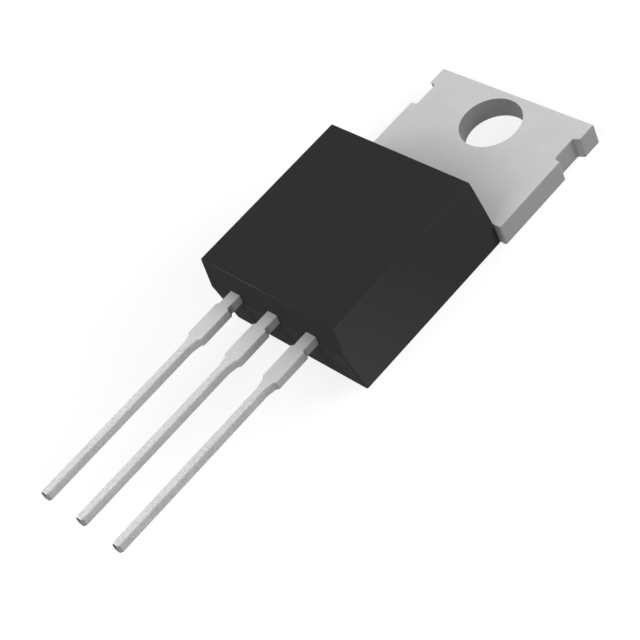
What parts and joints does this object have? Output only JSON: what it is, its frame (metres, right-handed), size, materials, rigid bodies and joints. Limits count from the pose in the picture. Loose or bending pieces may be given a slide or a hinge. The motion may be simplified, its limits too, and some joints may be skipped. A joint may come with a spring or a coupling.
{
  "type": "power mosfet",
  "caption": "Power mosfet in a black moulded package with a metal mounting tab and straight through-hole leads.",
  "frame": {"origin": "on the axis of the mounting hole, at the back face of the tab", "axes": "+X across the leads, gate lead at -X and source lead at +X; +Y along the leads towards the tab's end; +Z out of the back, towards the moulded face"},
  "size_m": [0.0096, 0.0293, 0.0044],
  "materials": {
    "epoxy": "black moulding compound, finely matt",
    "tinned_frame": "copper strip with matt tin plating",
    "tinned_lead": "copper strip with matt tin plating",
    "solder": "soft solder, dull",
    "die_metal": "silicon chip with metallised top",
    "bond_wire": "drawn aluminium wire"
  },
  "bodies": {
    "root": {"moulded_body": "epoxy", "drain_frame": "tinned_frame", "gate_lead": "tinned_lead", "source_lead": "tinned_lead", "die_solder": "solder", "silicon_die": "die_metal", "gate_bond_wire": "bond_wire", "source_bond_wire_1": "bond_wire", "source_bond_wire_2": "bond_wire"}
  },
  "joints": []
}
